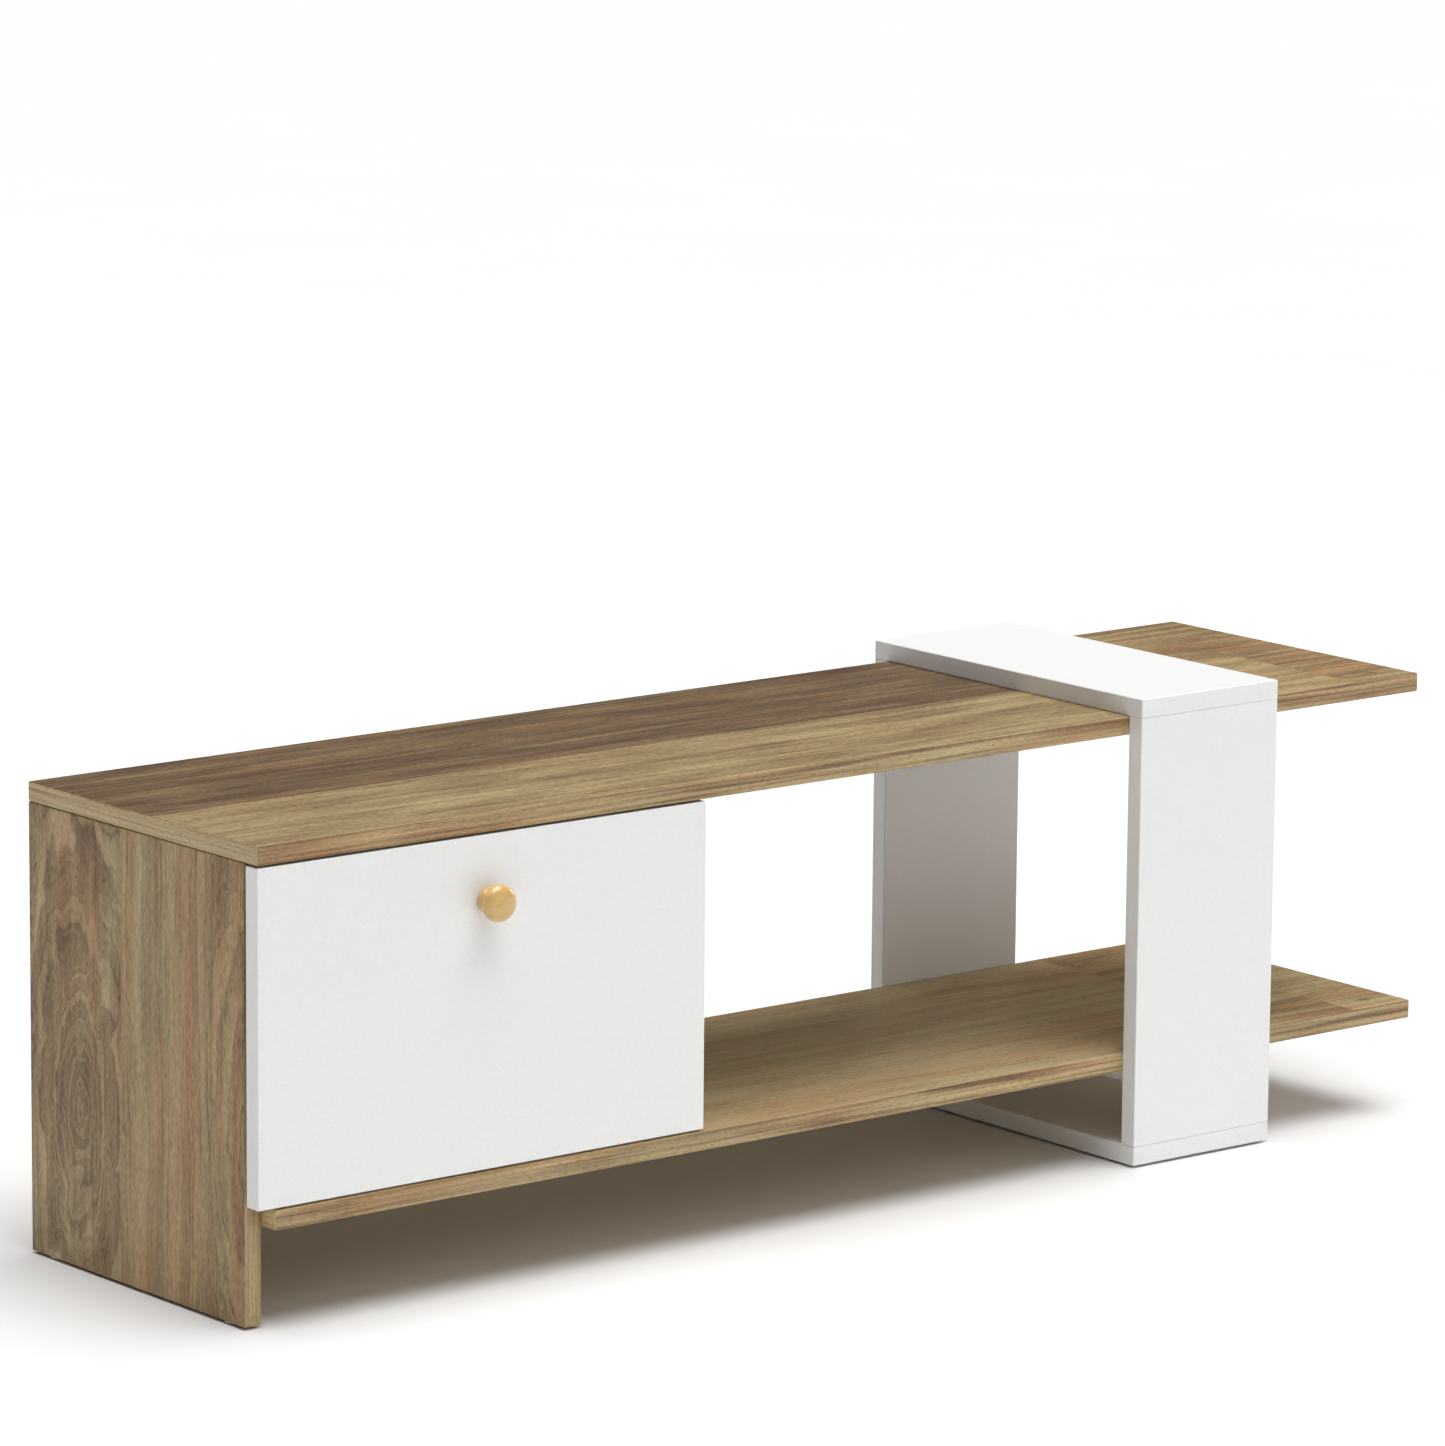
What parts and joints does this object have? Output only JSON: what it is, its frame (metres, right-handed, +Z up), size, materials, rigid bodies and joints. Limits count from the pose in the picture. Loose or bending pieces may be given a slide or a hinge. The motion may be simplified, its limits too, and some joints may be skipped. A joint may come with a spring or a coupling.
{
  "type": "tv stand with doors",
  "caption": "Low TV stand: long wood-effect top and shelf on a side panel and a white board ring, with a white drop-down flap door closing the left compartment.",
  "frame": {"origin": "bottom centre of the whole stand's bounding box, on the floor plane under the glides", "axes": "+X along the stand from the door end to the open end, +Y from front to back, +Z up"},
  "size_m": [1.366, 0.395, 0.4485],
  "materials": {
    "wood_print_board": "walnut-toned printed melamine on particle board, satin",
    "white_board": "white melamine on particle board, satin",
    "hardboard": "white-faced thin hardboard, matt",
    "lacquered_wood": "turned pale wood under clear gloss lacquer",
    "nickel_steel": "nickel-plated pressed steel",
    "zinc_plated_steel": "bright zinc plate",
    "die_cast_zinc": "plain die-cast zinc, dull",
    "white_plastic": "moulded, matt",
    "clear_plastic": "soft translucent bumper"
  },
  "bodies": {
    "stand": {"top_board": "wood_print_board", "left_side_panel": "wood_print_board", "divider_panel": "wood_print_board", "lower_shelf": "wood_print_board", "frame_top_board": "white_board", "frame_base_board": "white_board", "frame_front_upright": "white_board", "frame_rear_upright": "white_board", "compartment_back_panel": "hardboard", "bumper_left": "clear_plastic", "bumper_right": "clear_plastic", "cam_side_front": "die_cast_zinc", "cam_bolt_side_front": "zinc_plated_steel", "cam_side_rear": "die_cast_zinc", "cam_bolt_side_rear": "zinc_plated_steel", "cam_divider_front": "die_cast_zinc", "cam_bolt_divider_front": "zinc_plated_steel", "cam_divider_rear": "die_cast_zinc", "cam_bolt_divider_rear": "zinc_plated_steel", "cam_shelf_front": "die_cast_zinc", "cam_bolt_shelf_front": "zinc_plated_steel", "cam_shelf_rear": "die_cast_zinc", "cam_bolt_shelf_rear": "zinc_plated_steel", "cam_frame_top_front": "die_cast_zinc", "cam_bolt_frame_top_front": "zinc_plated_steel", "cam_frame_top_rear": "die_cast_zinc", "cam_bolt_frame_top_rear": "zinc_plated_steel", "cam_frame_shelf_front": "die_cast_zinc", "cam_bolt_frame_shelf_front": "zinc_plated_steel", "cam_frame_shelf_rear": "die_cast_zinc", "cam_bolt_frame_shelf_rear": "zinc_plated_steel", "glide_side_front": "white_plastic", "glide_side_rear": "white_plastic", "glide_frame_front_left": "white_plastic", "glide_frame_front_right": "white_plastic", "glide_frame_rear_left": "white_plastic", "glide_frame_rear_right": "white_plastic", "hinge_left_arm": "nickel_steel", "hinge_left_mounting_plate": "nickel_steel", "hinge_left_arm_pin": "zinc_plated_steel", "hinge_left_arm_screw": "zinc_plated_steel", "hinge_left_plate_screw_a": "zinc_plated_steel", "hinge_left_plate_screw_b": "zinc_plated_steel", "hinge_right_arm": "nickel_steel", "hinge_right_mounting_plate": "nickel_steel", "hinge_right_arm_pin": "zinc_plated_steel", "hinge_right_arm_screw": "zinc_plated_steel", "hinge_right_plate_screw_a": "zinc_plated_steel", "hinge_right_plate_screw_b": "zinc_plated_steel"},
    "door": {"door_panel": "white_board", "door_knob": "lacquered_wood", "door_knob_screw": "zinc_plated_steel", "hinge_left_cup": "nickel_steel", "hinge_left_cup_screw_a": "zinc_plated_steel", "hinge_left_cup_screw_b": "zinc_plated_steel", "hinge_right_cup": "nickel_steel", "hinge_right_cup_screw_a": "zinc_plated_steel", "hinge_right_cup_screw_b": "zinc_plated_steel"},
    "hinge_links": {"hinge_left_link": "nickel_steel", "hinge_right_link": "nickel_steel"}
  },
  "joints": [
    {"name": "door_hinge", "type": "hinge", "parent": "stand", "child": "door", "pos_m": [-0.4385, -0.1662, 0.1184], "axis": [1, 0, 0], "range_deg": [0, 90]},
    {"name": "link_swing", "type": "hinge", "parent": "stand", "child": "hinge_links", "pos_m": [-0.4385, -0.15045, 0.1421], "axis": [1, 0, 0], "range_deg": [-42, 0]}
  ],
  "couplings": [
    {"joint": "link_swing", "follows": "door_hinge", "ratio": -0.4644}
  ]
}
